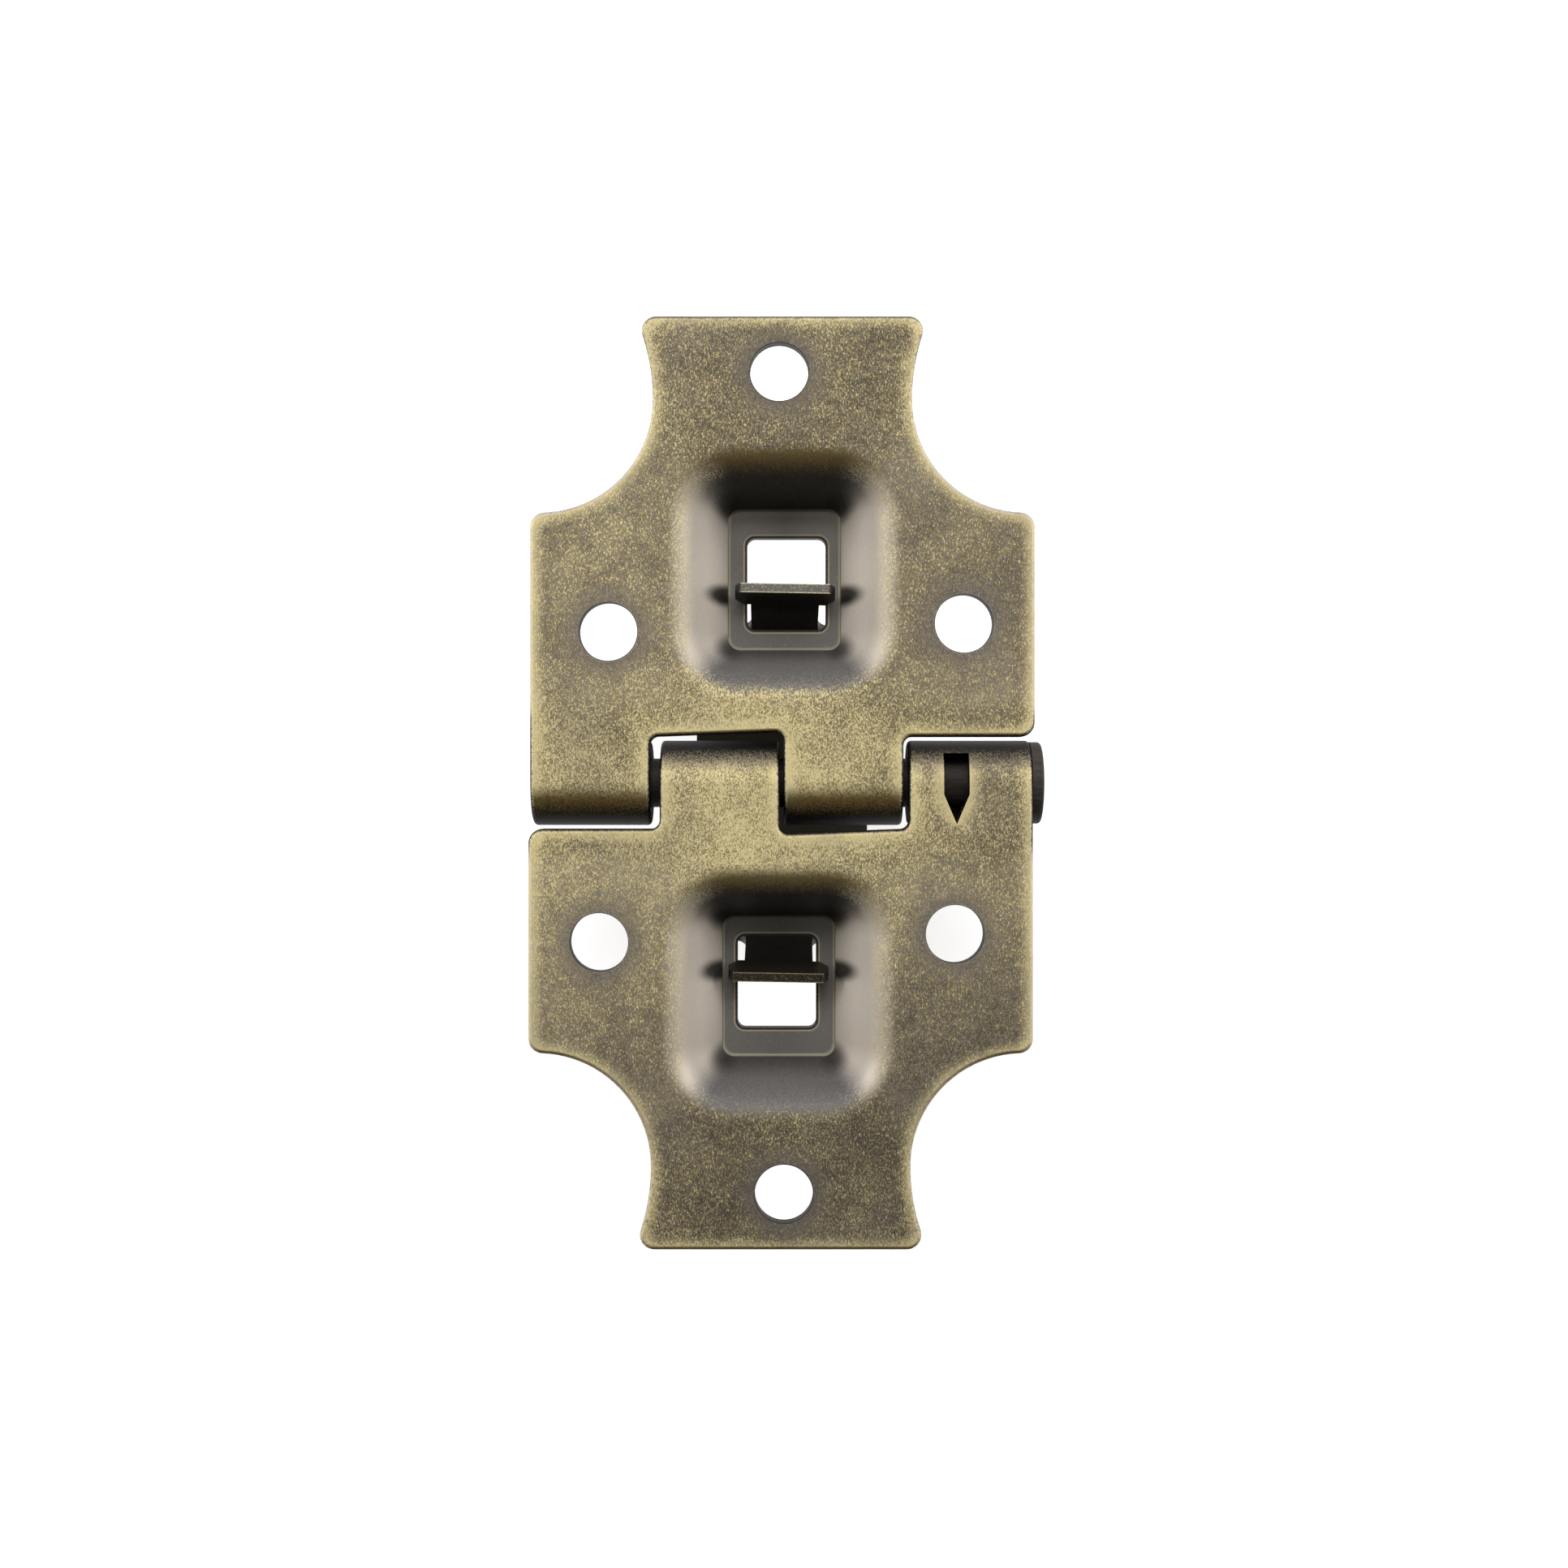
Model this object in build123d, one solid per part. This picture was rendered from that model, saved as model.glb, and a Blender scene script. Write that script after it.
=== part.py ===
from build123d import *
import math
import os

# A lid stop hinge for a case. X runs along the pin, +Y towards the lid and +Z out of the
# face that is seen when the case is shut. The pieces are drawn about the pin's axis and saved
# about the base's tab hole, on the leaf's back, where it is fastened. All sizes are in millimetres.

# Sheet, pin and rolled knuckles
SHEET = 1.2
PIN_D = 3.4
PIN_CLEARANCE = 0.05
ROLL_ANGLE = 300.0
HEAD_D = 5.7
HEAD_T = 0.8
HEAD_ROUND = 0.25

# Outline of a leaf, seen from the front with its knuckles below
LEAF_W = 34.6
LEAF_L = 32.0
WAIST_HALF = 8.9
TAB_L = 5.7
SHOULDER_ARC = 7.75
FLARE_ARC = 14.0
CORNER_R = 1.0
EDGE_ROUND = 0.3

# Knuckles and the notches between them
INNER_KNUCKLE = 8.22
MIDDLE_GAP = 0.28
LID_KNUCKLE_GAP = 0.68
BASE_KNUCKLE_GAP = 0.38
NOTCH_EDGE = 3.15
NOTCH_EDGE_CENTRE = 3.5
NOTCH_CORNER_R = 0.6
BASE_FLOAT = 0.12

# Screw holes
HOLE_D = 4.0
LEFT_HOLE_EDGE = 5.36
LEFT_HOLE_Y = 10.36
RIGHT_HOLE_EDGE = 4.86
RIGHT_HOLE_Y = 10.92
TAB_HOLE_X = -0.22
TAB_HOLE_EDGE = 3.86

# Drawn pocket and the window in its floor
POCKET_X = 0.14
POCKET_Y = 14.45
POCKET_DEPTH = 6.0
FLOOR_W = 7.8
FLOOR_L = 9.85
FLOOR_CORNER_R = 0.8
SIDE_DRAFT = 26.0
END_DRAFT = 21.0
MOUTH_CORNER_R = 3.6
MOUTH_ROUND = 2.4
MOUTH_ROUND_BACK = 1.2
FLOOR_ROUND = 0.2
FLOOR_ROUND_BACK = 1.0
WINDOW_X = 0.28
WINDOW_W = 5.6
WINDOW_L = 6.55
WINDOW_Y = 14.17
WINDOW_CORNER_R = 0.6

# Stake opening over the pin: a pierced slot with a pointed end
STAKE_EDGE = 5.35
STAKE_W = 1.75
STAKE_TOP = 2.05
STAKE_SHOULDER = -0.8
STAKE_POINT = -2.85

# Stop arm
ARM_T = 0.7
ARM_W = 13.2
ARM_CORNER_R = 1.6
NECK_W = 4.85
NECK_L = 5.6
NECK_FILLET_R = 1.2
T_END_W = 6.4
T_TIP_W = 7.05
T_L = 2.3
T_TIP_TOP = 0.55
T_TIP_LOW = 1.4
T_SEAT_W = 5.75
T_CORNER_R = 0.25
ARM_Y = 13.0
ARM_LEAN = 17.0
ARM_SKEW = 1.0
ARM_SHIFT = -0.05
SEAT_GAP = 0.05
STOP_GAP = 0.12
OPEN_ANGLE = 90.0

# Worked out from the sizes above
ROLL_IN = PIN_D / 2 + PIN_CLEARANCE
ROLL_OUT = ROLL_IN + SHEET
FRONT_Z = ROLL_OUT
BACK_Z = FRONT_Z - SHEET
FLOOR_Z = FRONT_Z - POCKET_DEPTH
REACH = LEAF_L + LEAF_W
WAIST_Y = LEAF_L - TAB_L
INNER_START = (MIDDLE_GAP - BASE_FLOAT) / 2
INNER_END = INNER_START + INNER_KNUCKLE
LID_OUTER_KNUCKLE = LEAF_W / 2 - INNER_END - BASE_FLOAT - LID_KNUCKLE_GAP
BASE_OUTER_KNUCKLE = LEAF_W / 2 - INNER_END - BASE_FLOAT - BASE_KNUCKLE_GAP
LEFT_HOLE = (LEFT_HOLE_EDGE - LEAF_W / 2, LEFT_HOLE_Y)
RIGHT_HOLE = (LEAF_W / 2 - RIGHT_HOLE_EDGE, RIGHT_HOLE_Y)
TAB_HOLE = (TAB_HOLE_X, LEAF_L - TAB_HOLE_EDGE)
TOUCH = 0.001
FASTENED = Pos(BASE_FLOAT + TAB_HOLE_X, LEAF_L - TAB_HOLE_EDGE, -BACK_Z)


def polar(radius, degrees):
    angle = math.radians(degrees)
    return (radius * math.cos(angle), radius * math.sin(angle))


def knuckle(start, length):
    """One rolled knuckle, curled back from the top of the pin to just behind the leaf."""
    end = 90 + ROLL_ANGLE
    roll = make_face(
        [
            CenterArc((0, 0), ROLL_OUT, 90, ROLL_ANGLE),
            Line(polar(ROLL_OUT, end), polar(ROLL_IN, end)),
            CenterArc((0, 0), ROLL_IN, 90, ROLL_ANGLE),
            Line((0, ROLL_IN), (0, ROLL_OUT)),
        ]
    )
    return extrude(Plane((start, 0, 0), x_dir=(0, 1, 0), z_dir=(1, 0, 0)) * roll, length)


def outline():
    """The leaf's plan: a wide part, hollow shoulders, a waist and a flared tab."""
    half = LEAF_W / 2
    shoulder_x = WAIST_HALF + SHOULDER_ARC
    corner_y = WAIST_Y - math.sqrt(SHOULDER_ARC**2 - (half - shoulder_x) ** 2)
    flare_x = WAIST_HALF + FLARE_ARC
    tip_x = flare_x - math.sqrt(FLARE_ARC**2 - (LEAF_L - WAIST_Y) ** 2)
    mid_shoulder = polar(SHOULDER_ARC, 225)
    mid_flare_y = (LEAF_L + WAIST_Y) / 2
    mid_flare_x = flare_x - math.sqrt(FLARE_ARC**2 - (mid_flare_y - WAIST_Y) ** 2)
    edges = [Line((-half, 0), (half, 0))]
    for s in (-1, 1):
        edges += [
            Line((s * half, 0), (s * half, corner_y)),
            ThreePointArc(
                (s * half, corner_y),
                (s * (shoulder_x + mid_shoulder[0]), WAIST_Y + mid_shoulder[1]),
                (s * WAIST_HALF, WAIST_Y),
            ),
            ThreePointArc((s * WAIST_HALF, WAIST_Y), (s * mid_flare_x, mid_flare_y), (s * tip_x, LEAF_L)),
        ]
    edges.append(Line((-tip_x, LEAF_L), (tip_x, LEAF_L)))
    plan = make_face(edges)
    corners = [v for v in plan.vertices() if v.Y > LEAF_L - 1 or abs(v.Y - corner_y) < CORNER_R / 2]
    return fillet(corners, CORNER_R)


def notched(plan, outer_knuckle):
    """Cuts the gaps that the other leaf's knuckles turn in."""
    half = LEAF_W / 2
    low = -ROLL_OUT
    outer_end = -half + outer_knuckle
    inner_notch = Polygon(
        (outer_end, low),
        (INNER_START, low),
        (INNER_START, NOTCH_EDGE_CENTRE),
        (outer_end, NOTCH_EDGE),
        align=None,
    )
    outer_notch = Polygon(
        (INNER_END, low), (REACH, low), (REACH, NOTCH_EDGE), (INNER_END, NOTCH_EDGE), align=None
    )
    plan = plan - inner_notch - outer_notch
    in_notch = [v for v in plan.vertices() if 0 < v.Y < NOTCH_EDGE_CENTRE + SHEET and v.X < half - SHEET]
    plan = fillet(in_notch, NOTCH_CORNER_R)
    at_side = [v for v in plan.vertices() if abs(v.Y - NOTCH_EDGE) < SHEET / 2 and v.X > half - SHEET]
    return fillet(at_side, CORNER_R)


def pocket_body(offset, low, high):
    """A drafted block: the hollow of the pocket at offset 0, or its outside with the wall added."""
    sections = []
    for z in (low, high):
        rise = z - FLOOR_Z
        wide = FLOOR_W / 2 + rise * math.tan(math.radians(SIDE_DRAFT))
        long = FLOOR_L / 2 + rise * math.tan(math.radians(END_DRAFT))
        wide += offset / math.cos(math.radians(SIDE_DRAFT))
        long += offset / math.cos(math.radians(END_DRAFT))
        corner = FLOOR_CORNER_R + offset + (MOUTH_CORNER_R - FLOOR_CORNER_R) * rise / POCKET_DEPTH
        place = Plane((POCKET_X, POCKET_Y, z))
        sections.append(place * RectangleRounded(2 * wide, 2 * long, corner))
    return loft(sections, ruled=True)


def level_edges(solid, z, reach=REACH):
    """Edges that lie flat at one height within reach of the pocket's middle."""
    found = []
    for edge in solid.edges():
        box = edge.bounding_box()
        flat = abs(box.min.Z - z) < TOUCH and abs(box.max.Z - z) < TOUCH
        near = abs(box.center().X - POCKET_X) < reach and abs(box.center().Y - POCKET_Y) < reach
        if flat and near:
            found.append(edge)
    return found


def with_pocket(leaf):
    """Adds the drawn pocket: walls and floor of one sheet, rounded where the punch bends it."""
    mouth_w = FLOOR_W + 2 * POCKET_DEPTH
    hollow = pocket_body(0, FLOOR_Z, FRONT_Z + SHEET)
    shell = pocket_body(SHEET, FLOOR_Z - SHEET, BACK_Z + SHEET / 2)
    leaf = leaf + shell
    leaf = fillet(level_edges(leaf, BACK_Z, reach=mouth_w / 2), MOUTH_ROUND_BACK)
    leaf = fillet(level_edges(leaf, FLOOR_Z - SHEET), FLOOR_ROUND_BACK)
    leaf = leaf - hollow
    leaf = fillet(level_edges(leaf, FRONT_Z, reach=mouth_w / 2), MOUTH_ROUND)
    leaf = fillet(level_edges(leaf, FLOOR_Z), FLOOR_ROUND)
    window = RectangleRounded(WINDOW_W, WINDOW_L, WINDOW_CORNER_R)
    window = Plane((WINDOW_X, WINDOW_Y, FLOOR_Z)) * window
    return leaf - extrude(window, 2 * SHEET, both=True)


def leaf(outer_knuckle):
    """One leaf in the lid's place."""
    plan = notched(outline(), outer_knuckle)
    body = extrude(Pos(0, 0, BACK_Z) * plan, SHEET)
    body += knuckle(-LEAF_W / 2, outer_knuckle)
    body += knuckle(INNER_START, INNER_KNUCKLE)
    rim = []
    for edge in body.edges():
        middle = edge @ 0.5
        start_of_roll = edge.geom_type == GeomType.LINE and abs(middle.Y) < TOUCH
        on_front = abs(middle.Z - FRONT_Z) < TOUCH and not start_of_roll
        radius = math.hypot(middle.Y, middle.Z)
        on_roll = edge.geom_type == GeomType.CIRCLE and abs(radius - ROLL_OUT) < TOUCH
        if on_front or on_roll:
            rim.append(edge)
    body = fillet(rim, EDGE_ROUND)
    body = with_pocket(body)
    for x, y in (LEFT_HOLE, RIGHT_HOLE, TAB_HOLE):
        body -= Pos(x, y, FRONT_Z) * Cylinder(HOLE_D / 2, 4 * SHEET)
    return body


def lid_leaf():
    return leaf(LID_OUTER_KNUCKLE)


def base_leaf():
    """The same stamping turned half round, with the stake opening pierced over the pin."""
    body = Pos(-BASE_FLOAT, 0, 0) * Rot(0, 0, 180) * leaf(BASE_OUTER_KNUCKLE)
    half = STAKE_W / 2
    slot = Polygon(
        (-half, STAKE_TOP), (half, STAKE_TOP), (half, STAKE_SHOULDER), (0, STAKE_POINT), (-half, STAKE_SHOULDER),
        align=None,
    )
    return body - extrude(Pos(LEAF_W / 2 - STAKE_EDGE, 0, 0) * slot, REACH, dir=(0, 0, 1))


def hinge_pin():
    """A round pin, flush at the left, with a thin head against the right knuckle."""
    left = -LEAF_W / 2
    seat = LEAF_W / 2 - BASE_FLOAT
    shank = Plane((left, 0, 0), x_dir=(0, 1, 0), z_dir=(1, 0, 0)) * Circle(PIN_D / 2)
    head = Plane((seat, 0, 0), x_dir=(0, 1, 0), z_dir=(1, 0, 0)) * Circle(HEAD_D / 2)
    head = extrude(head, HEAD_T)
    rim = head.edges().filter_by(GeomType.CIRCLE).sort_by(Axis.X)[-1]
    return fillet(rim, HEAD_ROUND) + extrude(shank, seat - left)


def arm_section():
    """The bow's side view: two straight legs that lean outwards, and one round bow between."""
    lean = math.radians(ARM_LEAN)
    half_open = math.radians(OPEN_ANGLE / 2)
    seat_y = ARM_Y + ARM_T / 2 * math.cos(lean)
    seat_z = FLOOR_Z + SEAT_GAP
    rise = seat_y * math.tan(half_open) + seat_z / math.cos(half_open) - seat_z
    low = -ROLL_OUT - STOP_GAP - rise - ARM_T / 2
    shoulder_z = seat_z + ARM_T / 2 * math.sin(lean)
    turn = math.pi / 2 - lean
    bow_r = (ARM_Y * math.tan(turn) - (shoulder_z - low)) / (1 / math.cos(turn) - 1)
    return low, shoulder_z, bow_r, math.degrees(turn)


def arm_band():
    low, shoulder_z, bow_r, turn = arm_section()
    lean = math.radians(ARM_LEAN)
    centre = (0, low + bow_r)
    out = (math.sin(lean), math.cos(lean))
    end = (ARM_Y + T_L * out[0], shoulder_z + T_L * out[1])
    band = []
    for side in (1, -1):
        radius = bow_r + side * ARM_T / 2
        arc = CenterArc(centre, radius, -90 - turn, 2 * turn)
        shift = (side * ARM_T / 2 * out[1], -side * ARM_T / 2 * out[0])
        tip = (end[0] + shift[0], end[1] + shift[1])
        band.append(arc)
        band.append(Line(arc @ 1, tip))
        band.append(Line(arc @ 0, (-tip[0], tip[1])))
    inner_tips = (band[4] @ 1, band[5] @ 1)
    outer_tips = (band[1] @ 1, band[2] @ 1)
    band += [Line(outer, inner) for outer, inner in zip(outer_tips, inner_tips)]
    return extrude(Plane.YZ * make_face(band), ARM_W / 2, both=True)


def t_end():
    """Half of the flat blank's end, from its edge down to where it is as wide as the bow."""
    deep = T_L + NECK_L
    right = [
        (T_END_W / 2, 0),
        (T_TIP_W / 2, -T_TIP_TOP),
        (T_TIP_W / 2, -T_TIP_LOW),
        (T_SEAT_W / 2, -T_L),
        (NECK_W / 2, -T_L),
        (NECK_W / 2, -deep),
        (ARM_W / 2, -deep),
    ]
    left = [(-x, y) for x, y in reversed(right)]
    shape = Polygon(*right, (ARM_W / 2, -2 * deep), (-ARM_W / 2, -2 * deep), *left, align=None)
    neck = [v for v in shape.vertices() if abs(v.Y + deep) < TOUCH and abs(v.X) < T_TIP_W / 2]
    shape = fillet(neck, NECK_FILLET_R)
    wide = [v for v in shape.vertices() if abs(v.Y + deep) < TOUCH and abs(v.X) > ARM_W / 2 - TOUCH]
    shape = fillet(wide, ARM_CORNER_R)
    tips = [v for v in shape.vertices() if abs(v.X) > T_SEAT_W / 2 and v.Y > -T_L + TOUCH]
    return fillet(tips, T_CORNER_R)


def stop_arm():
    """A strip with a T at each end, bent to a bow that runs behind the barrel."""
    low, shoulder_z, bow_r, turn = arm_section()
    lean = math.radians(ARM_LEAN)
    deep = T_L + NECK_L
    waste = Pos(0, -deep, 0) * Rectangle(2 * ARM_W, 4 * deep) - t_end()
    waste -= Pos(0, -2 * deep, 0) * Rectangle(2 * ARM_W, 2 * deep - ARM_CORNER_R)
    body = arm_band()
    for turned in (0, 180):
        end = (0, ARM_Y + T_L * math.sin(lean), shoulder_z + T_L * math.cos(lean))
        place = Plane(end, x_dir=(1, 0, 0), z_dir=(0, -math.cos(lean), math.sin(lean)))
        cutter = extrude(place * waste, 4 * ARM_T, both=True)
        body -= Rot(0, 0, turned) * cutter
    return Pos(ARM_SHIFT, 0, 0) * Rot(0, 0, -ARM_SKEW) * body


def save(name, shape):
    export_step(FASTENED * shape, f"parts/{name}.step")


if __name__ == "__main__":
    os.makedirs("parts", exist_ok=True)
    save("base_leaf", base_leaf())
    save("lid_leaf", lid_leaf())
    save("hinge_pin", hinge_pin())
    save("stop_arm", stop_arm())
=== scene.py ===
"""Finish, lights and camera for a plated steel lid stop hinge."""

import math

import bpy
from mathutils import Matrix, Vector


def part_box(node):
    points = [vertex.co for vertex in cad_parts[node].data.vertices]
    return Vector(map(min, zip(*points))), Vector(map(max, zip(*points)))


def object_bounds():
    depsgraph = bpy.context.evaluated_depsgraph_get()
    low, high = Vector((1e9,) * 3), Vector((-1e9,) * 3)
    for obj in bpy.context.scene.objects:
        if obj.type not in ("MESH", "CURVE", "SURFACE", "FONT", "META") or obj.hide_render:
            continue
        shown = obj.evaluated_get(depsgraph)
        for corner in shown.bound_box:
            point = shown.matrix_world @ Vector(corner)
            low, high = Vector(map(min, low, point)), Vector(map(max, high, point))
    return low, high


bl_info = {
    "name": "Lid stop hinge",
    "version": (1, 0, 0),
    "blender": (4, 5, 0),
    "location": "View3D > Sidebar > Hinge",
    "description": "Antique brass plating, lights and camera for a lid stop hinge",
    "category": "Object",
}

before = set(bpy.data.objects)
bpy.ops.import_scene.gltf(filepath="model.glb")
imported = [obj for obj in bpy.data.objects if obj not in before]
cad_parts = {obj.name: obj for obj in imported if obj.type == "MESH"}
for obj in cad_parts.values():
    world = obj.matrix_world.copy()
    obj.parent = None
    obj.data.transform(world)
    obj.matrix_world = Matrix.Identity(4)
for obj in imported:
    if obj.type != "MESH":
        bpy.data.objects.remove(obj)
CAD_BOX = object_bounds()

MM = 0.001
PIN_LOW, PIN_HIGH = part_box("hinge_pin")
PIN_Y = (PIN_LOW.y + PIN_HIGH.y) / 2
PIN_Z = (PIN_LOW.z + PIN_HIGH.z) / 2
LEAF_LOW, LEAF_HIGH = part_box("lid_leaf")
BASE_LOW, BASE_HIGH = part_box("base_leaf")
ARM_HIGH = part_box("stop_arm")[1]
LID_X = (LEAF_LOW.x + LEAF_HIGH.x) / 2
BASE_X = (BASE_LOW.x + BASE_HIGH.x) / 2

# Places on a leaf in millimetres from the middle of its knuckles, as the sheet was pierced and drawn
HOLES = ((-11.94, 10.36), (12.44, 10.92), (-0.22, 28.14))
HOLE_ROUND = 2.0
POCKET = (0.14, 14.45)
FLOOR_SIZE = (7.8, 9.85)
FLOOR_ROUND = 0.7
FLOOR_Z = -2.8
FACE_Z = 2.95
EARS_Y = 13.3
KNUCKLE_END = (4, 6)
WINDOW = (0.28, 14.17)
WINDOW_SIZE = (5.6, 6.55)
WINDOW_ROUND = 0.55

# Painted light: the lid leaf's pocket floor is painted paler from the first of these places along the hinge
# to the second
PAINTED_FLOOR_LIGHT = (PIN_Y + 15.5 * MM, PIN_Y + 19.5 * MM)

# Reach up the pocket's walls, in millimetres, of the dark corners (old plating and painted shade), of the
# painted shade at the end walls' foot, and of the arm's painted shadow and reflection
CORNER_SHADE_AND_STAIN = 1.3
FOOT_SHADE = 1.4
EAR_SHADOW_REACH = 2
EAR_SHADOW_HALF_WIDTH = 1.05

# Share of each pattern in the tone of the flats
GRAIN = 1.95
MOTTLING = 0.45
CLOUDING = 0.6

SMOOTH = {"interpolation_type": "SMOOTHSTEP"}


class PlatingSettings(bpy.types.PropertyGroup):
    """Colours and grain of the plated sheet."""

    pore: bpy.props.StringProperty(
        name="Pore", description="Dark plating in the pits that the brush stepped over", default="#4A443A"
    )
    cloud: bpy.props.StringProperty(
        name="Cloud", description="Olive brown plating where the brush passed lightly", default="#746955"
    )
    brushed: bpy.props.StringProperty(
        name="Brushed plating", description="Plating relieved by the brush", default="#A0936E"
    )
    fleck: bpy.props.StringProperty(
        name="Fleck", description="Brass that shows through in fine scratches", default="#E4D4A0"
    )
    # Painted warm shade on the bends that face −Y, away from the lid softbox
    painted_amber_shade: bpy.props.StringProperty(
        name="Amber", description="Deeper gold on the bends that the belt met first", default="#6A5626"
    )
    # Painted grey sheen on the bends that face +Y, towards the lid softbox
    lid_facing: bpy.props.StringProperty(
        name="Lee", description="Greyer plating on the bends that the belt left last", default="#6A615A"
    )
    # Pale brass: the specks on the pocket's side walls, and a painted highlight on the bends
    brassy: bpy.props.StringProperty(
        name="Rubbed", description="Pale brass on the bends along the belt's way", default="#D8CBAC"
    )
    bloom: bpy.props.StringProperty(
        name="Bloom", description="Greyer bloom that comes and goes over the flats", default="#857B71"
    )
    tarnish: bpy.props.StringProperty(
        name="Tarnish", description="Greyer plating left round the screw holes", default="#6E665E"
    )
    side_wall: bpy.props.StringProperty(
        name="Side walls", description="Smooth grey plating on the pocket's side walls", default="#C6BDB4"
    )
    end_wall: bpy.props.StringProperty(
        name="End walls", description="Darker plating on the pocket's end walls", default="#666464"
    )
    floor: bpy.props.StringProperty(
        name="Pocket floor", description="Smooth dark plating on the pocket's floor", default="#797672"
    )
    roll: bpy.props.StringProperty(
        name="Roll", description="Dark shine on the sides of the knuckles", default="#1F1C1A"
    )
    # Painted light: the flats' tone falls from the knuckles to these levels at each leaf's end, over these
    # reaches
    lid_end_light: bpy.props.FloatProperty(
        name="Lid relief", description="How far the brush has cleared the lid leaf's end", default=0.43
    )
    base_end_light: bpy.props.FloatProperty(
        name="Base relief", description="How far the brush has cleared the base leaf's end", default=0.29
    )
    lid_reach: bpy.props.FloatProperty(
        name="Lid reach",
        description="From the pin to where the lid leaf is evenly dark",
        default=11 * MM,
        unit="LENGTH",
    )
    base_reach: bpy.props.FloatProperty(
        name="Base reach",
        description="From the pin to where the base leaf is evenly dark",
        default=22 * MM,
        unit="LENGTH",
    )
    # Painted light: the flats get darker by this much for each millimetre to the right
    painted_light_left: bpy.props.FloatProperty(
        name="Heavy left", description="Extra clearing for each millimetre to the left", default=0.005
    )
    grit: bpy.props.FloatProperty(
        name="Grit", description="Width of one speck of brass", default=0.06 * MM, unit="LENGTH"
    )
    scratch_length: bpy.props.FloatProperty(
        name="Scratch length", description="Length of a brush scratch", default=0.3 * MM, unit="LENGTH"
    )
    mottle: bpy.props.FloatProperty(
        name="Mottle", description="Width of a patch of even tone", default=0.7 * MM, unit="LENGTH"
    )
    cloud_size: bpy.props.FloatProperty(
        name="Cloud size", description="Width of a browner patch", default=3.5 * MM, unit="LENGTH"
    )
    worn_band: bpy.props.FloatProperty(
        name="Worn band", description="Reach of the wear in from an edge", default=1.2 * MM, unit="LENGTH"
    )


class ArmSettings(bpy.types.PropertyGroup):
    """Colours of the stop arm and the pin."""

    blackened: bpy.props.StringProperty(
        name="Blackened steel", description="Near black plating of the arm", default="#443F3A"
    )
    cut_end: bpy.props.StringProperty(
        name="Cut end", description="Brown plating on the arm's cut ends", default="#37322A"
    )
    bare_brass: bpy.props.StringProperty(
        name="Bare brass", description="Brass on the corners of the arm's ends", default="#D0C498"
    )
    pin: bpy.props.StringProperty(name="Pin", description="Dark plating of the pin", default="#37332F")


class StageSettings(bpy.types.PropertyGroup):
    """Camera, softboxes and floor."""

    camera_height: bpy.props.FloatProperty(
        name="Camera height", description="From the hinge's front face", default=144 * MM, unit="LENGTH"
    )
    view_width: bpy.props.FloatProperty(
        name="View width", description="Width seen at the front face", default=107.33 * MM, unit="LENGTH"
    )
    floor_gap: bpy.props.FloatProperty(
        name="Floor gap",
        description="From the arm's lowest point to the floor",
        default=0.6 * MM,
        unit="LENGTH",
    )
    side_light: bpy.props.FloatProperty(
        name="Side softboxes", description="Brightness of the softboxes at left and right", default=8.5
    )
    lid_light: bpy.props.FloatProperty(
        name="Lid softbox", description="Brightness of the softbox beyond the lid leaf", default=4.6
    )
    top_light: bpy.props.FloatProperty(
        name="Top softbox", description="Brightness of the softbox over the camera", default=0.6
    )
    tent: bpy.props.FloatProperty(name="Tent", description="Brightness of the light tent", default=0.05)


def colour(hex_code):
    """An sRGB hex colour as linear red, green, blue and alpha."""
    channels = [int(hex_code[i : i + 2], 16) / 255 for i in (1, 3, 5)]
    linear = [c / 12.92 if c <= 0.04045 else ((c + 0.055) / 1.055) ** 2.4 for c in channels]
    return (*linear, 1.0)


def add(tree, kind, inputs=(), **settings):
    """Adds a node with its settings. Inputs come in order or by name, as numbers, nodes or sockets."""
    made = tree.nodes.new(kind)
    for name, value in settings.items():
        setattr(made, name, value)
    if isinstance(inputs, dict):
        pairs = [(made.inputs[name], value) for name, value in inputs.items()]
    else:
        pairs = zip([socket for socket in made.inputs if socket.enabled], inputs)
    for socket, value in pairs:
        if isinstance(value, bpy.types.Node):
            value = next(output for output in value.outputs if output.enabled)
        if isinstance(value, bpy.types.NodeSocket):
            tree.links.new(value, socket)
        else:
            socket.default_value = value
    return made


def new_material(name):
    """An empty node material and its node tree."""
    material = bpy.data.materials.new(name)
    material.use_nodes = True
    material.node_tree.nodes.clear()
    return material, material.node_tree


def dress(node, material):
    """Gives a CAD piece one material all over."""
    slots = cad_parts[node].data.materials
    slots.clear()
    slots.append(material)


def leaf_place(tree, place, middle_x, turned):
    """Millimetres from the middle of a leaf's knuckles, with the leaf pointing along +Y."""
    side = -1 if turned else 1
    leaf = add(
        tree,
        "ShaderNodeMapping",
        {
            "Vector": place.outputs["Object"],
            "Location": (-side * middle_x / MM, -side * PIN_Y / MM, -PIN_Z / MM),
            "Rotation": (0, 0, math.pi if turned else 0.0),
            "Scale": (1 / MM,) * 3,
        },
    )
    return add(tree, "ShaderNodeSeparateXYZ", (leaf,))


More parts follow.
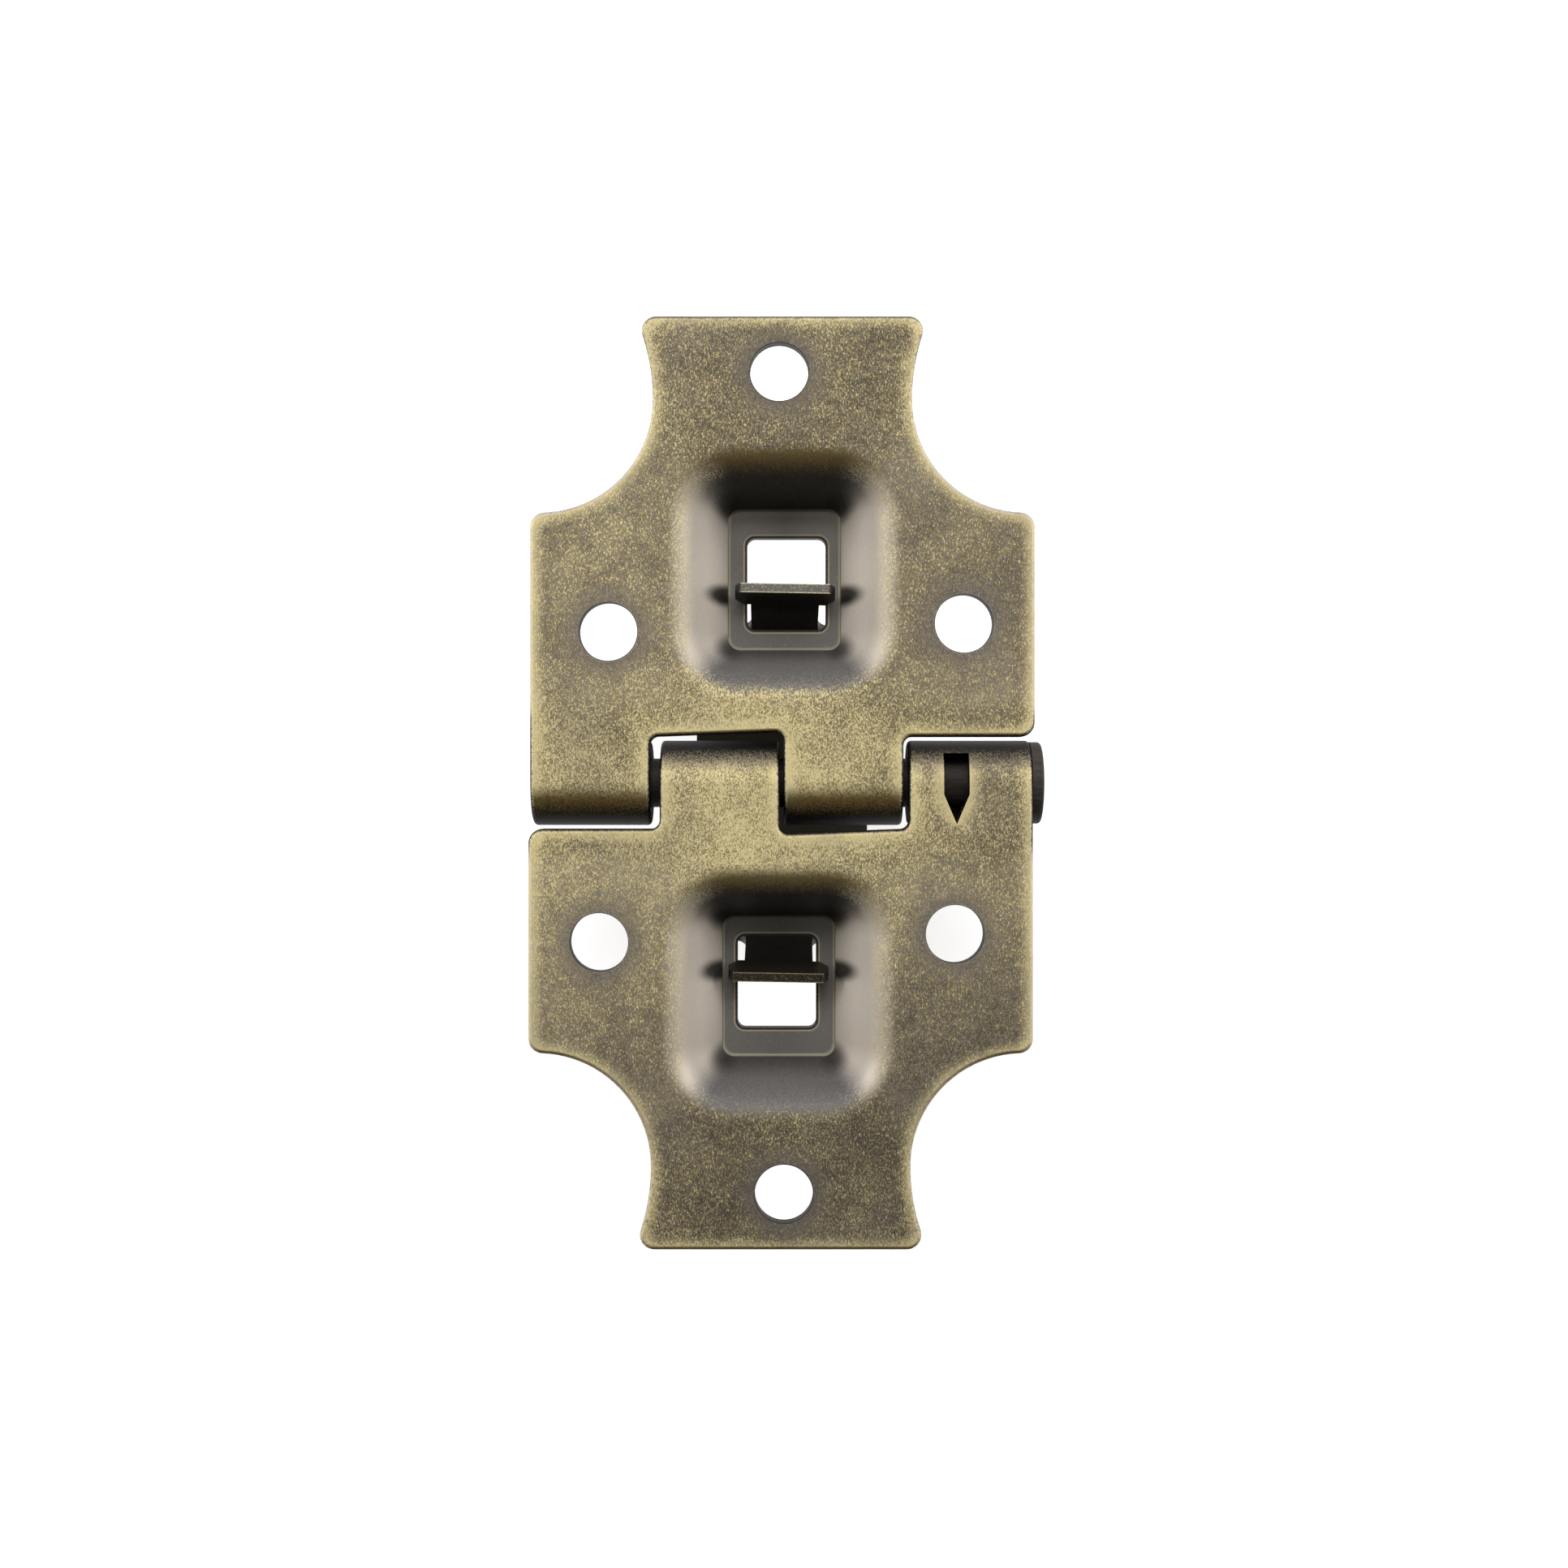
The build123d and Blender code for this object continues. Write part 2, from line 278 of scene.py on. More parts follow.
def brush_marks(tree, place, look):
    """Specks and scratches of brass, long the way the brush ran.

    The real ones are finer than the photo shows, so they are drawn about twice as coarse.
    """
    long_cell = (1 / look.grit, 0.6 / look.grit, 1 / look.grit)
    along = add(tree, "ShaderNodeMapping", {"Vector": place.outputs["Object"], "Scale": long_cell})
    specks = add(tree, "ShaderNodeTexVoronoi", {"Vector": along, "Scale": 1.0})
    speck = add(tree, "ShaderNodeSeparateXYZ", (specks.outputs["Color"],))
    thread = (0.75 / look.grit, 1 / look.scratch_length, 0.75 / look.grit)
    drawn = add(tree, "ShaderNodeMapping", {"Vector": place.outputs["Object"], "Scale": thread})
    scratch = add(tree, "ShaderNodeTexNoise", {"Vector": drawn, "Scale": 1.0, "Detail": 2, "Roughness": 0.6})
    return add(tree, "ShaderNodeMix", (0.6, speck, scratch))


def bright_flecks(tree, marks):
    """The same marks with the brightest drawn out, so that flecks stand out more than pores."""
    drawn = add(tree, "ShaderNodeMath", (marks, 2.5), operation="POWER")
    return add(tree, "ShaderNodeMath", (drawn, 0.31), operation="ADD")


def clear_of_holes(tree, spot, near, far):
    """0 at the rim of a screw hole and 1 well away from all three."""
    away = 1.0
    flat = add(tree, "ShaderNodeCombineXYZ", (spot.outputs["X"], spot.outputs["Y"]))
    for x, y in HOLES:
        reach = add(tree, "ShaderNodeVectorMath", (flat, (x, y, 0)), operation="DISTANCE")
        clear = add(tree, "ShaderNodeMapRange", (reach, near, far, 0, 1), **SMOOTH)
        away = add(tree, "ShaderNodeMath", (clear, away), operation="MULTIPLY")
    return away


def beyond_outline(tree, spot, centre, size, radius):
    """Millimetres outside a round-cornered rectangle in the pocket's floor, less than 0 inside it."""
    flat = add(tree, "ShaderNodeCombineXYZ", (spot.outputs["X"], spot.outputs["Y"]))
    off = add(tree, "ShaderNodeVectorMath", (flat, (*centre, 0)), operation="SUBTRACT")
    off = add(tree, "ShaderNodeVectorMath", (off,), operation="ABSOLUTE")
    inner = (size[0] / 2 - radius, size[1] / 2 - radius, 0)
    past = add(tree, "ShaderNodeVectorMath", (off, inner), operation="SUBTRACT")
    past = add(tree, "ShaderNodeVectorMath", (past, (0, 0, 0)), operation="MAXIMUM")
    gap = add(tree, "ShaderNodeVectorMath", (past,), operation="LENGTH")
    return add(tree, "ShaderNodeMath", (gap, radius), operation="SUBTRACT")


def end_wall_share(tree, spot):
    """0 on the pocket's side walls and 1 on its end walls, with a soft change round the corners."""
    gaps = []
    for axis, middle, whole in (("X", POCKET[0], FLOOR_SIZE[0]), ("Y", POCKET[1], FLOOR_SIZE[1])):
        off = add(tree, "ShaderNodeMath", (spot.outputs[axis], middle), operation="SUBTRACT")
        far = add(tree, "ShaderNodeMath", (off,), operation="ABSOLUTE")
        gaps.append(add(tree, "ShaderNodeMath", (far, whole / 2), operation="SUBTRACT"))
    past = add(tree, "ShaderNodeMath", (gaps[1], gaps[0]), operation="SUBTRACT")
    return add(tree, "ShaderNodeMapRange", (past, -1.8, 1.3, 0, 1), **SMOOTH)


def brushed_flats(tree, place, spot, facing, marks, end_light, reach, look):
    """Colour of the flats: olive brown plating with brass scratches, bare along the edges."""
    patch = {"Vector": place.outputs["Object"], "Detail": 4, "Roughness": 0.6}
    mottle = add(tree, "ShaderNodeTexNoise", {**patch, "Scale": 1 / look.mottle})
    cloud = add(tree, "ShaderNodeTexNoise", {**patch, "Scale": 1 / look.cloud_size})
    sweep = add(tree, "ShaderNodeTexNoise", {**patch, "Scale": 0.4 / look.cloud_size})

    # Painted light: brighter where the two leaves meet, and darker towards the leaf's end
    home = (0, PIN_Y - 1 * MM, LEAF_HIGH.z)
    off = add(tree, "ShaderNodeVectorMath", (place.outputs["Object"], home), operation="DISTANCE")
    brassy = add(tree, "ShaderNodeMapRange", (off, 13 * MM, 3 * MM, 0, 0.24), **SMOOTH)
    level = add(tree, "ShaderNodeMapRange", (spot.outputs["Y"], 4, reach / MM, 0.62, end_light), **SMOOTH)
    tone = add(tree, "ShaderNodeMath", (level, brassy), operation="ADD")
    # Painted light: the flats darken towards the right
    side = add(tree, "ShaderNodeSeparateXYZ", (place.outputs["Object"],))
    tone = add(tree, "ShaderNodeMath", (side, -look.painted_light_left / MM, tone), operation="MULTIPLY_ADD")

    # How near the surface is to an edge of the sheet, felt from inside the metal
    within = {"samples": 5, "inside": True, "only_local": True}
    depth = add(tree, "ShaderNodeAmbientOcclusion", {"Distance": look.worn_band}, **within)
    edge = add(tree, "ShaderNodeMapRange", (depth.outputs["AO"], 0.97, 0.7, 0, 0.36), **SMOOTH)
    brink = add(tree, "ShaderNodeMapRange", (depth.outputs["AO"], 0.82, 0.6, 0, 0.45), **SMOOTH)
    edge = add(tree, "ShaderNodeMath", (edge, brink), operation="ADD")
    skin = add(
        tree, "ShaderNodeAmbientOcclusion", {"Distance": 0.25 * MM}, samples=4, inside=True, only_local=True
    )
    lip = add(tree, "ShaderNodeMapRange", (skin.outputs["AO"], 0.97, 0.7, 0, 0.7), **SMOOTH)
    edge = add(tree, "ShaderNodeMath", (edge, lip), operation="ADD")
    away = clear_of_holes(tree, spot, 2.1, 3.8)
    front = add(tree, "ShaderNodeMapRange", (facing, 0.3, 0.6, 0, 1), **SMOOTH)
    bare = add(tree, "ShaderNodeMath", (edge, away), operation="MULTIPLY")
    bare = add(tree, "ShaderNodeMath", (bare, front), operation="MULTIPLY")
    tone = add(tree, "ShaderNodeMath", (tone, bare), operation="ADD")
    for pattern, strength in ((bright_flecks(tree, marks), GRAIN), (mottle, MOTTLING), (cloud, CLOUDING)):
        tone = add(tree, "ShaderNodeMath", (pattern, strength, tone), operation="MULTIPLY_ADD")
    tone = add(tree, "ShaderNodeMath", (tone, (GRAIN + MOTTLING + CLOUDING) / 2), operation="SUBTRACT")

    bloom = add(tree, "ShaderNodeMapRange", (sweep, 0.5, 0.66, 0, 0.25), **SMOOTH)
    shades = (look.pore, look.cloud, look.brushed, look.fleck)
    flats = colour(shades[0])
    for step, shade in enumerate(shades[1:]):
        share = add(tree, "ShaderNodeMapRange", (tone, step / 3, (step + 1) / 3, 0, 1))
        flats = add(tree, "ShaderNodeMix", (share, flats, colour(shade)), data_type="RGBA")
    flats = add(tree, "ShaderNodeMix", (bloom, flats, colour(look.bloom)), data_type="RGBA")
    tarnish = add(tree, "ShaderNodeMapRange", (away, 1, 0, 0, 0.7))
    return add(tree, "ShaderNodeMix", (tarnish, flats, colour(look.tarnish)), data_type="RGBA")


def drawn_recess(tree, place, spot, marks, look):
    """Colour where the brush doesn't reach: grey drawn walls, a dark floor, and darker rolls."""
    ends = end_wall_share(tree, spot)
    shades = (colour(look.side_wall), colour(look.end_wall))
    walls = add(tree, "ShaderNodeMix", (ends, *shades), data_type="RGBA")
    sheet = add(tree, "ShaderNodeMapRange", (spot.outputs["Y"], *KNUCKLE_END, 0, 1), **SMOOTH)
    # The side walls carry more specks of brass than the end walls
    most = add(tree, "ShaderNodeMapRange", (ends, 0, 1, 0.5, 0.12))
    specks = add(tree, "ShaderNodeMapRange", (marks, 0.47, 0.7, 0, most), **SMOOTH)
    walls = add(tree, "ShaderNodeMix", (specks, walls, colour(look.brassy)), data_type="RGBA")
    recess = add(tree, "ShaderNodeMix", (sheet, colour(look.roll), walls), data_type="RGBA")

    # Darker in the pocket's lowest corners, where two walls meet the floor: partly old plating, partly
    # painted shade
    flat = add(tree, "ShaderNodeCombineXYZ", (spot.outputs["X"], spot.outputs["Y"]))
    off = add(tree, "ShaderNodeVectorMath", (flat, (*POCKET, 0)), operation="SUBTRACT")
    off = add(tree, "ShaderNodeVectorMath", (off,), operation="ABSOLUTE")
    lowest = (FLOOR_SIZE[0] / 2, FLOOR_SIZE[1] / 2, 0)
    gap = add(tree, "ShaderNodeVectorMath", (off, lowest), operation="DISTANCE")
    left = add(tree, "ShaderNodeMapRange", (gap, CORNER_SHADE_AND_STAIN, 0.2, 0, 0.75), **SMOOTH)
    recess = add(tree, "ShaderNodeMix", (left, recess, colour(look.roll)), data_type="RGBA")

    # Painted shade along the foot of each end wall
    pressed = beyond_outline(tree, spot, POCKET, FLOOR_SIZE, FLOOR_ROUND)
    foot = add(tree, "ShaderNodeMapRange", (pressed, FOOT_SHADE, 0, 0, 0.55), **SMOOTH)
    foot = add(tree, "ShaderNodeMath", (foot, ends), operation="MULTIPLY")
    recess = add(tree, "ShaderNodeMix", (foot, recess, colour(look.roll)), data_type="RGBA")

    # Painted shadow and reflection of the arm's dark ears on the side walls beside their resting place
    middle = add(tree, "ShaderNodeMath", (pressed, -0.05, EARS_Y), operation="MULTIPLY_ADD")
    along = add(tree, "ShaderNodeMath", (spot.outputs["Y"], middle), operation="SUBTRACT")
    along = add(tree, "ShaderNodeMath", (along, EAR_SHADOW_HALF_WIDTH), operation="DIVIDE")
    out = add(tree, "ShaderNodeMapRange", (pressed, 0.3, EAR_SHADOW_REACH, 0, 1))
    ear_shadow = add(tree, "ShaderNodeCombineXYZ", (out, along))
    ear_shadow = add(tree, "ShaderNodeVectorMath", (ear_shadow,), operation="LENGTH")
    ear_shadow = add(tree, "ShaderNodeMapRange", (ear_shadow, 1, 0.35, 0, 0.96), **SMOOTH)
    recess = add(tree, "ShaderNodeMix", (ear_shadow, recess, colour(look.roll)), data_type="RGBA")

    floor = add(tree, "ShaderNodeMapRange", (spot.outputs["Z"], FLOOR_Z + 0.1, FLOOR_Z - 0.1, 0, 1), **SMOOTH)
    seen = add(tree, "ShaderNodeSeparateXYZ", (place.outputs["Object"],))
    # Painted light: the lid leaf's floor is painted paler towards +Y
    floor_light = add(tree, "ShaderNodeMapRange", (seen.outputs["Y"], *PAINTED_FLOOR_LIGHT, 0, 0.4), **SMOOTH)
    lit_floor = add(tree, "ShaderNodeMix", (floor_light, colour(look.floor), colour(look.side_wall)), data_type="RGBA")
    recess = add(tree, "ShaderNodeMix", (floor, recess, lit_floor), data_type="RGBA")
    window = beyond_outline(tree, spot, WINDOW, WINDOW_SIZE, WINDOW_ROUND)
    # The punch rolled the window's edge over; its shade and highlight are painted: dark next to the hole,
    # then a thin bright line. A thin painted highlight also runs round the floor's outline
    painted_edge_lines = (
        (window, 0.06, 0.12, look.roll, 0.85),
        (window, 0.22, 0.07, look.fleck, 0.45),
        (pressed, 0.02, 0.09, look.fleck, 0.3),
    )
    for beyond, centre, width, shade, strength in painted_edge_lines:
        off = add(tree, "ShaderNodeMath", (beyond, centre), operation="SUBTRACT")
        off = add(tree, "ShaderNodeMath", (off,), operation="ABSOLUTE")
        line = add(tree, "ShaderNodeMapRange", (off, width, width / 3, 0, strength), **SMOOTH)
        line = add(tree, "ShaderNodeMath", (line, floor), operation="MULTIPLY")
        recess = add(tree, "ShaderNodeMix", (line, recess, colour(shade)), data_type="RGBA")
    return recess


def brush_reach(tree, spot, normal, marks):
    """1 where the brush cleared the plating, and 0 down the pocket and round the knuckles."""
    depth = add(tree, "ShaderNodeMapRange", (spot.outputs["Z"], FACE_Z - 1.7, FACE_Z, 0, 1))
    # It reached less far down the walls that face the lid
    lid_facing = add(tree, "ShaderNodeMapRange", (normal.outputs["Y"], 0.05, 0.5, 0, 0.45), **SMOOTH)
    depth = add(tree, "ShaderNodeMath", (depth, lid_facing), operation="SUBTRACT")
    depth = add(tree, "ShaderNodeMath", (marks, 1.6, depth), operation="MULTIPLY_ADD")
    walls = add(tree, "ShaderNodeMapRange", (depth, 1.0, 1.8, 0, 1), **SMOOTH)

    lean = add(tree, "ShaderNodeMath", (normal.outputs["Z"],), operation="ABSOLUTE")
    lean = add(tree, "ShaderNodeMath", (marks, 0.5, lean), operation="MULTIPLY_ADD")
    rolls = add(tree, "ShaderNodeMapRange", (lean, 0.86, 1.22, 0, 1), **SMOOTH)
    back = add(tree, "ShaderNodeMapRange", (normal.outputs["Z"], -0.5, 0.2, 0.55, 1), **SMOOTH)
    rolls = add(tree, "ShaderNodeMath", (rolls, back), operation="MULTIPLY")

    # Below the knuckles' outer skin, such as inside the staked slot, the dark recess colour stands for
    # painted shade
    skin = add(tree, "ShaderNodeMath", (normal.outputs["Z"], FACE_Z), operation="MULTIPLY")
    below = add(tree, "ShaderNodeMath", (skin, spot.outputs["Z"]), operation="SUBTRACT")
    outer = add(tree, "ShaderNodeMapRange", (below, 0.35, 0.15, 0, 1))
    rolls = add(tree, "ShaderNodeMath", (rolls, outer), operation="MULTIPLY")

    # The flat sheet begins where the knuckles end
    sheet = add(tree, "ShaderNodeMapRange", (spot.outputs["Y"], *KNUCKLE_END, 0, 1), **SMOOTH)
    front = add(tree, "ShaderNodeMapRange", (normal.outputs["Z"], 0.1, 0.3, 0, 1), **SMOOTH)
    pocket = add(tree, "ShaderNodeMath", (sheet, front), operation="MULTIPLY")
    return add(tree, "ShaderNodeMix", (pocket, rolls, walls))


def leaf_plating(name, middle_x, turned, end_light, reach, look):
    """Antique brass plated steel sheet, blackened and then brushed along its length.

    The eye sees fine brass scratches on olive brown flats, bare brass along the edges, smooth grey
    plating on the pocket's walls and a dark shine where the sheet rolls round the pin. The plating
    is under a clear lacquer, so it is part mirror and part paint.
    """
    material, tree = new_material(name)
    place = add(tree, "ShaderNodeTexCoord")
    spot = leaf_place(tree, place, middle_x, turned)
    normal = add(tree, "ShaderNodeSeparateXYZ", (place.outputs["Normal"],))
    facing = normal.outputs["Z"]
    marks = brush_marks(tree, place, look)
    flats = brushed_flats(tree, place, spot, facing, marks, end_light, reach, look)
    recess = drawn_recess(tree, place, spot, marks, look)

    reached = brush_reach(tree, spot, normal, marks)

    # Painted light on the bends: a deeper gold shade on those that face −Y, away from the lid softbox, a grey
    # sheen on those that face +Y, towards it, and pale brass specks as a painted highlight on the bends
    met = add(tree, "ShaderNodeMapRange", (normal.outputs["Y"], -0.03, -0.42, 0, 0.88), **SMOOTH)
    flats = add(tree, "ShaderNodeMix", (met, flats, colour(look.painted_amber_shade)), data_type="RGBA")
    lid_facing = add(tree, "ShaderNodeMapRange", (normal.outputs["Y"], 0.1, 0.6, 0, 0.75), **SMOOTH)
    flats = add(tree, "ShaderNodeMix", (lid_facing, flats, colour(look.lid_facing)), data_type="RGBA")
    bend_highlight = add(tree, "ShaderNodeMath", (normal,), operation="ABSOLUTE")
    bend_highlight = add(tree, "ShaderNodeMapRange", (bend_highlight, 0.08, 0.4, 0, 0.45), **SMOOTH)
    speckle = add(tree, "ShaderNodeMapRange", (marks, 0.35, 0.65, 0.35, 1.6))
    bend_highlight = add(tree, "ShaderNodeMath", (bend_highlight, speckle), operation="MULTIPLY")
    flats = add(tree, "ShaderNodeMix", (bend_highlight, flats, colour(look.brassy)), data_type="RGBA")
    # Painted shade on each pocket's wall on the +Y side, which faces −Y, away from the lid softbox
    dark = add(tree, "ShaderNodeMapRange", (normal.outputs["Y"], -0.2, -0.7, 0, 0.6), **SMOOTH)
    recess = add(tree, "ShaderNodeMix", (dark, recess, colour(look.roll)), data_type="RGBA")

    # The punched walls of the screw holes are as dark as the rolls
    rim = clear_of_holes(tree, spot, HOLE_ROUND, HOLE_ROUND + 0.12)
    recess = add(tree, "ShaderNodeMix", (rim, colour(look.roll), recess), data_type="RGBA")
    reached = add(tree, "ShaderNodeMath", (reached, rim), operation="MULTIPLY")

    height = add(tree, "ShaderNodeMath", (marks, reached), operation="MULTIPLY")
    bump = add(tree, "ShaderNodeBump", {"Strength": 0.3, "Distance": 0.02 * MM, "Height": height})
    surface = {
        "Base Color": add(tree, "ShaderNodeMix", (reached, recess, flats), data_type="RGBA"),
        "Roughness": add(tree, "ShaderNodeMapRange", (reached, 0, 1, 0.52, 0.6)),
        "Metallic": add(tree, "ShaderNodeMapRange", (reached, 0, 1, 0.25, 0.5)),
        "Specular IOR Level": 0.12,
        "Normal": bump,
    }
    shader = add(tree, "ShaderNodeBsdfPrincipled", surface)
    add(tree, "ShaderNodeOutputMaterial", (shader,))
    return material


def blackened_strip(look):
    """Spring steel strip, blackened in its plating bath: near black, with worn brass on its cut ends."""
    material, tree = new_material("blackened_strip")
    place = add(tree, "ShaderNodeTexCoord")
    height = add(tree, "ShaderNodeSeparateXYZ", (place.outputs["Object"],)).outputs["Z"]
    facing = add(tree, "ShaderNodeSeparateXYZ", (place.outputs["Normal"],)).outputs["Z"]
    speck = add(tree, "ShaderNodeTexNoise", {"Vector": place.outputs["Object"], "Scale": 1 / (0.14 * MM)})
    depth = add(
        tree, "ShaderNodeAmbientOcclusion", {"Distance": 0.1 * MM}, samples=5, inside=True, only_local=True
    )
    edge = add(tree, "ShaderNodeMapRange", (depth.outputs["AO"], 0.9, 0.6, 0, 1), **SMOOTH)
    tips = (ARM_HIGH.z - 2.2 * MM, ARM_HIGH.z - 1.2 * MM)
    head = add(tree, "ShaderNodeMapRange", (height, *tips, 0, 1), **SMOOTH)
    upward = add(tree, "ShaderNodeMapRange", (facing, 0.7, 0.9, 0, 1), **SMOOTH)
    end = add(tree, "ShaderNodeMath", (upward, head), operation="MULTIPLY")
    brassy = add(tree, "ShaderNodeMapRange", (speck, 0.3, 0.5, 0.5, 1), **SMOOTH)
    lines = add(tree, "ShaderNodeMath", (edge, end), operation="MULTIPLY")
    lines = add(tree, "ShaderNodeMath", (lines, brassy), operation="MULTIPLY")
    bright = add(tree, "ShaderNodeMapRange", (speck, 0.5, 0.7, 0, 0.2), **SMOOTH)
    patches = add(tree, "ShaderNodeMath", (end, bright), operation="MULTIPLY")
    base = add(tree, "ShaderNodeMix", (end, colour(look.blackened), colour(look.cut_end)), data_type="RGBA")
    for share in (patches, lines):
        base = add(tree, "ShaderNodeMix", (share, base, colour(look.bare_brass)), data_type="RGBA")
    bump = add(tree, "ShaderNodeBump", {"Strength": 0.3, "Distance": 0.02 * MM, "Height": speck})
    surface = {
        "Base Color": base,
        "Roughness": 0.36,
        "Metallic": add(tree, "ShaderNodeMapRange", (end, 0, 1, 0.8, 0.2)),
        "Normal": bump,
    }
    shader = add(tree, "ShaderNodeBsdfPrincipled", surface)
    add(tree, "ShaderNodeOutputMaterial", (shader,))
    return material


def plated_wire(look):
    """Drawn steel wire under dark plating: faint drawing marks on a gunmetal shine."""
    material, tree = new_material("plated_wire")
    place = add(tree, "ShaderNodeTexCoord")
    long_cell = (1 / (1.0 * MM), 1 / (0.25 * MM), 1 / (0.25 * MM))
    along = add(tree, "ShaderNodeMapping", {"Vector": place.outputs["Object"], "Scale": long_cell})
    drawn = add(tree, "ShaderNodeTexNoise", {"Vector": along, "Scale": 1.0, "Detail": 3})
    bump = add(tree, "ShaderNodeBump", {"Strength": 0.2, "Distance": 0.01 * MM, "Height": drawn})
    share = add(tree, "ShaderNodeMapRange", (drawn, 0.4, 0.65, 0, 1), **SMOOTH)
    surface = {
        "Base Color": add(
            tree, "ShaderNodeMix", (share, colour(look.pin), colour(look.blackened)), data_type="RGBA"
        ),
        "Roughness": add(tree, "ShaderNodeMapRange", (drawn, 0.35, 0.65, 0.5, 0.65)),
        "Metallic": 0.15,
        "Specular IOR Level": 0.12,
        "Normal": bump,
    }
    shader = add(tree, "ShaderNodeBsdfPrincipled", surface)
    add(tree, "ShaderNodeOutputMaterial", (shader,))
    return material


class HINGE_OT_leaves(bpy.types.Operator):
    """Plate and brush the two leaves"""

    bl_idname = "hinge.leaves"
    bl_label = "Finish the leaves"

    def execute(self, context):
        look = context.scene.hinge_plating
        lid = leaf_plating("antique_brass_lid", LID_X, False, look.lid_end_light, look.lid_reach, look)
        base = leaf_plating("antique_brass_base", BASE_X, True, look.base_end_light, look.base_reach, look)
        dress("lid_leaf", lid)
        dress("base_leaf", base)
        return {"FINISHED"}


class HINGE_OT_arm(bpy.types.Operator):
    """Blacken the stop arm"""

    bl_idname = "hinge.arm"
    bl_label = "Finish the stop arm"

    def execute(self, context):
        dress("stop_arm", blackened_strip(context.scene.hinge_arm))
        return {"FINISHED"}


class HINGE_OT_pin(bpy.types.Operator):
    """Plate the hinge pin"""

    bl_idname = "hinge.pin"
    bl_label = "Finish the pin"

    def execute(self, context):
        dress("hinge_pin", plated_wire(context.scene.hinge_arm))
        return {"FINISHED"}


def softbox(name, place, size, brightness, target):
    """An area lamp of a given brightness, aimed at the hinge."""
    lamp = bpy.data.lights.new(name, "AREA")
    lamp.shape = "RECTANGLE"
    lamp.size = size[0]
    lamp.size_y = size[1]
    lamp.energy = brightness * math.pi * size[0] * size[1]
    box = bpy.data.objects.new(name, lamp)
    bpy.context.scene.collection.objects.link(box)
    box.location = place
    away = box.location - target
    box.rotation_euler = away.to_track_quat("Z", "Y").to_euler()


def white_paper():
    """Matt white paper: plain white to the camera, and it still takes the hinge's shadow."""
    material, tree = new_material("white_paper")
    path = add(tree, "ShaderNodeLightPath")
    paper = add(tree, "ShaderNodeBsdfDiffuse", (colour("#E8E8E8"),))
    glow = add(tree, "ShaderNodeEmission", {"Color": (1, 1, 1, 1), "Strength": 0.6})
    seen = path.outputs["Is Camera Ray"]
    for ray in ("Is Glossy Ray", "Is Transmission Ray"):
        seen = add(tree, "ShaderNodeMath", (seen, path.outputs[ray]), operation="MAXIMUM")
    lit = add(tree, "ShaderNodeAddShader", (paper, glow))
    both = add(tree, "ShaderNodeMixShader", (seen, paper, lit))
    add(tree, "ShaderNodeOutputMaterial", (both,))
    return material


